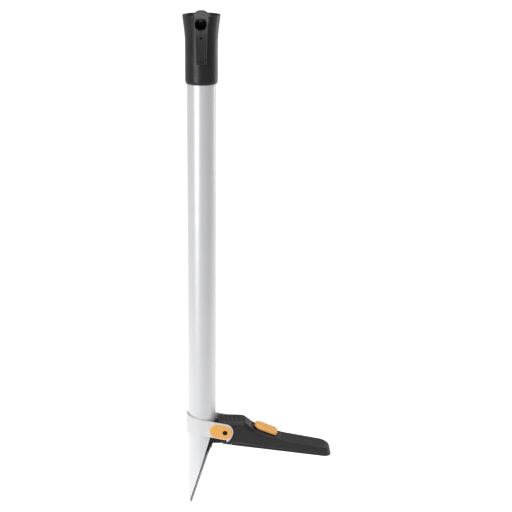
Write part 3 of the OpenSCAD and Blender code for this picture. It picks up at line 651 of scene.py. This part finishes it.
def pedal_sections(u, w_half, top, bottom, across, carve):
    """Open line over the pedal at each u: up one side wall, over the chamfer, across the top, and down
    the other side. Returns an array sections x points x (y, height)."""
    cw, ch = shoulder(u)
    ch = np.minimum(ch, (top - bottom) * 0.45)
    pair = lambda y, z: np.stack([y, z], axis=1)
    foot, knee, hip = pair(-w_half, bottom), pair(-w_half, top - ch), pair(-w_half + cw, top)
    way = (hip - knee) / np.linalg.norm(hip - knee, axis=1, keepdims=True)
    r = np.minimum(1.3, np.hypot(cw, ch) * 0.4)[:, None]
    up, over = np.array([[0, 1.0]]), np.array([[1.0, 0]])
    a, b = knee - up * np.minimum(r, ((top - ch - bottom) * 0.4)[:, None]), knee + way * r
    c, d = hip - way * r, hip + over * r
    left = np.concatenate([between(foot, a, 7), bend_at(a, knee, b)[:, 1:], bend_at(c, hip, d)], axis=1)
    mirror = left[:, ::-1] * np.array([-1, 1])
    line = np.concatenate([left, between(left[:, -1], mirror[:, 0], across)[:, 1:-1], mirror], axis=1)
    if carve:
        on_top = np.abs(line[..., 0]) < (w_half - cw + 0.2)[:, None]
        line[..., 1] = np.where(on_top, carved(u[:, None], line[..., 0], line[..., 1]), line[..., 1])
    return line

def pedal_net():
    """Outer skin and inner skin as nets with the same number of rows, the walls between them at the
    lower rims, and flat faces at both ends."""
    turn = np.linspace(0, np.pi / 2, 20)
    u = np.concatenate([-9 - 4 * np.sin(np.linspace(np.pi / 2, 0.35, 7)), [-10.31, -10.29],
                        np.arange(-9.6, 104, 0.6), np.arange(104, reach - end_r, 1.5),
                        reach - end_r + end_r * np.sin(turn)])
    u = np.unique(np.round(u, 4))
    far = np.clip((u - (reach - end_r)) / end_r, 0, 1)
    inner_u = np.where(u > reach - end_r, reach - end_r + (end_r - wall) * far, np.maximum(u, -10))
    outer = pedal_sections(u, half_width(u, half_w, end_r), top_line(u), bottom_line(u), 78, True)
    inner = pedal_sections(inner_u, half_width(inner_u, half_w - wall, end_r - wall),
                           top_line(inner_u) - wall, bottom_line(u), 20, False)
    n, mo, mi = len(u), outer.shape[1], inner.shape[1]
    xyz = lambda place, line: np.stack([pivot[0] + place[:, None] + 0 * line[..., 0], line[..., 0],
                                        pivot[1] + line[..., 1]], axis=2)
    points = np.concatenate([xyz(u, outer).reshape(-1, 3), xyz(inner_u, inner).reshape(-1, 3)])
    base = n * mo
    i = np.arange(n - 1)
    faces = [*quads(n, mo, False), *(quads(n, mi, False) + base)]
    for a, b in ((0, 0), (mo - 1, mi - 1)):
        faces += [*np.stack([i * mo + a, (i + 1) * mo + a, base + (i + 1) * mi + b, base + i * mi + b],
                            axis=1)]
    for row in (0, n - 1):
        faces += [list(row * mo + np.arange(mo)), list(base + row * mi + np.arange(mi)),
                  [row * mo, row * mo + mo - 1, base + row * mi + mi - 1, base + row * mi]]
    return points, faces

finish_piece(make_piece("pedal_moulding", *pedal_net(), sharp=48), "pedal", "pedal_plastic", pedal_moulding,
             "pedal_shell")

# %% [markdown]
# Two small ribs on the pedal's sides stand behind the ears' teeth and stop the pedal on its way up.
# They belong to the pedal's moulding, so they ride with it.

# %% Stop ribs
def rib_outline():
    """Slice of a ring round the pivot: radius 15.3 to 19.4, from 83.5 to 93.5 degrees below level."""
    outer, inner = arc(pivot, 19.4, -93.5, -83.5, 8), arc(pivot, 15.3, -83.5, -93.5, 8)
    return soften(np.concatenate([outer, inner]), 0.3, 3)

for side, label in ((-1, "front"), (1, "rear")):
    rib = skin(f"stop_rib_{label}", on_side(slab(rib_outline(), 21.5, 27.9, 0.35, 3), side))
    finish_piece(rib, "pedal", "pedal_plastic", pedal_moulding)

# %% [markdown]
# The base plate closes the pedal from below and shows as a thin lip round its lower edge. It is a slab
# whose heights follow the pedal's sloping underside.

# %% Base plate
def base_outline(grow=1.2, start=12.0):
    """Plan of the base: straight sides, and two round corners at the far end."""
    w, r, far = half_w + grow, end_r + grow, reach + grow
    corners = np.concatenate([arc((far - r, -w + r), r, -90, 0, 16), arc((far - r, w - r), r, 0, 90, 16)])
    return np.concatenate([[(start, -w), (start + 0.6, -w)], corners, [(start + 0.6, w), (start, w)]])

base_rings = slab(base_outline(), 0.0, 3.5, 0.8, 4)
slope_z = pivot[1] - 24.5 - math.tan(math.radians(7.3)) * (base_rings[..., 0] + 4)
base_rings = np.stack([base_rings[..., 0] + pivot[0], base_rings[..., 1], base_rings[..., 2] + slope_z],
                      axis=-1)
finish_piece(skin("pedal_base_moulding", base_rings), "pedal", "pedal_plastic", black_moulding, "pedal_base")

# %% [markdown]
# ## The orange slider
# The slider is a soft block with large round corners and a slightly crowned top, so a boot's toe can
# push it. It lies in the ramp's frame: its length runs down the ramp, and its height stands square to
# it. A smaller foot below it leaves a narrow gap between the orange block and the pocket. The foot is
# painted black instead of orange as painted shade, so the gap reads as a shadow line under the block.

# %% Slider
def slider_outline(inset, up, down):
    """Rounded rectangle 43 long and 30 wide, less the inset all round: corners of radius up on the
    uphill side and of radius down on the other."""
    a, b, w = inset, 43 - inset, 15 - inset
    return np.concatenate([arc((a + up, up - w), up, 180, 270, 12),
                           arc((b - down, down - w), down, 270, 360, 9),
                           arc((b - down, w - down), down, 0, 90, 9),
                           arc((a + up, w - up), up, 90, 180, 12)])

def down_ramp(rings):
    """From the ramp's frame (along, across, square to it) to the shared frame: a turn by the ramp's fall."""
    s, t = rings[..., 0] + 1.5, rings[..., 2]
    return np.stack([pivot[0] + ramp_u + s * math.cos(ramp_fall) + t * math.sin(ramp_fall), rings[..., 1],
                     pivot[1] + ramp_w - s * math.sin(ramp_fall) + t * math.cos(ramp_fall)], axis=-1)

slider_net = down_ramp(slab(slider_outline(0, 12.0, 5.0), 1.2, 7.6, 2.0, 8, crown=0.9))
finish_piece(skin("slider_moulding", slider_net, sharp=60), "latch", "orange_plastic", orange_moulding,
             "latch_slider")
# Painted shade: the foot gets the pedal's black, not the slider's orange, so it shows as a shadow line under
# the orange block.
shade_foot_net = down_ramp(slab(slider_outline(1.6, 10.5, 4.0), -1.3, 1.5, 0.3, 3))
finish_piece(skin("slider_foot_painted_shade", shade_foot_net, sharp=60), "latch", "orange_plastic", pedal_moulding)

# %% [markdown]
# ## Light and floor
# A studio shot of a white and black tool needs large soft lights, so that the tube and the plastic
# show long soft streaks. The floor is pale, and it glows behind the tool so that the ground there is
# white. Towards the front and the sides the glow fades, because light from there would wash out the
# black plastic and the tube's edges. A lamp over the ground could whiten it too, but it would light
# the tool as well.

# %% Floor
floor_z, floor_half = -0.86, 40
floor_mesh = bpy.data.meshes.new("floor")
floor_mesh.from_pydata([(x, y, floor_z) for x, y in ((-floor_half, -floor_half), (floor_half, -floor_half),
                                                     (floor_half, floor_half), (-floor_half, floor_half))],
                       [], [(0, 1, 2, 3)])
floor = bpy.data.objects.new("floor", floor_mesh)

def pale_floor(widening=0.18):
    """White finish with a glow: one share grows from front to back, and another falls with the way
    aside, |x| - widening * y, so the lit part widens with depth. The glow is their product."""
    m = bpy.data.materials.new("pale_floor")
    m.use_nodes = True
    n, l = m.node_tree.nodes, m.node_tree.links
    shader = n["Principled BSDF"]
    shader.inputs["Base Color"].default_value = (0.5, 0.5, 0.5, 1)
    shader.inputs["Roughness"].default_value = 1.0
    shader.inputs["Specular IOR Level"].default_value = 0.0
    shader.inputs["Emission Color"].default_value = (1, 1, 1, 1)
    split = n.new("ShaderNodeSeparateXYZ")
    l.new(n.new("ShaderNodeTexCoord").outputs["Object"], split.inputs[0])
    def maths(operation, *values):
        """A maths node fed with sockets or numbers."""
        knot = n.new("ShaderNodeMath")
        knot.operation = operation
        for socket, value in zip(knot.inputs, values):
            if isinstance(value, float):
                socket.default_value = value
            else:
                l.new(value, socket)
        return knot.outputs[0]
    def fade(source, start, end, low, high):
        """Share that goes from low to high while the source goes from start to end."""
        span = n.new("ShaderNodeMapRange")
        span.inputs["From Min"].default_value, span.inputs["From Max"].default_value = start, end
        span.inputs["To Min"].default_value, span.inputs["To Max"].default_value = low, high
        l.new(source, span.inputs["Value"])
        return span.outputs["Result"]
    aside = maths("MULTIPLY_ADD", split.outputs["Y"], -widening, maths("ABSOLUTE", split.outputs["X"]))
    glow = maths("MULTIPLY", fade(split.outputs["Y"], -0.5, 0.0, 0.2, 0.95), fade(aside, 0.6, 2.0, 1.0, 0.5))
    l.new(glow, shader.inputs["Emission Strength"])
    return m

floor_mesh.materials.append(pale_floor())
bpy.context.scene.collection.objects.link(floor)
print("floor at", floor_z)

# %% Lights
world = bpy.data.worlds.new("studio")
world.use_nodes = True
world.node_tree.nodes["Background"].inputs["Color"].default_value = (1, 1, 1, 1)
world.node_tree.nodes["Background"].inputs["Strength"].default_value = 0.34
bpy.context.scene.world = world

def soft_light(name, place, target, width, height, power):
    """A large area light that faces its target: its -Z axis points along the way from place to target."""
    data = bpy.data.lights.new(name, "AREA")
    data.shape, data.size, data.size_y, data.energy = "RECTANGLE", width, height, power
    light = bpy.data.objects.new(name, data)
    light.location = place
    way = np.array(target, float) - np.array(place, float)
    light.rotation_euler = (math.acos(-way[2] / np.linalg.norm(way)), 0,
                            math.atan2(way[1], way[0]) - math.pi / 2)
    bpy.context.scene.collection.objects.link(light)

soft_light("left_window", (-1.25, -1.6, 0.1), (0, 0, -0.4), 1.0, 1.8, 26)
soft_light("right_window", (1.6, 1.2, 0.15), (0, 0, -0.4), 0.8, 1.9, 9)
soft_light("front_fill", (0.4, -2.0, 1.5), (0, 0, -0.4), 1.6, 1.6, 18)
soft_light("overhead", (0.2, 0.3, 1.5), (0.1, 0, -0.6), 1.5, 1.5, 24)
bpy.context.scene.view_settings.view_transform = "Standard"
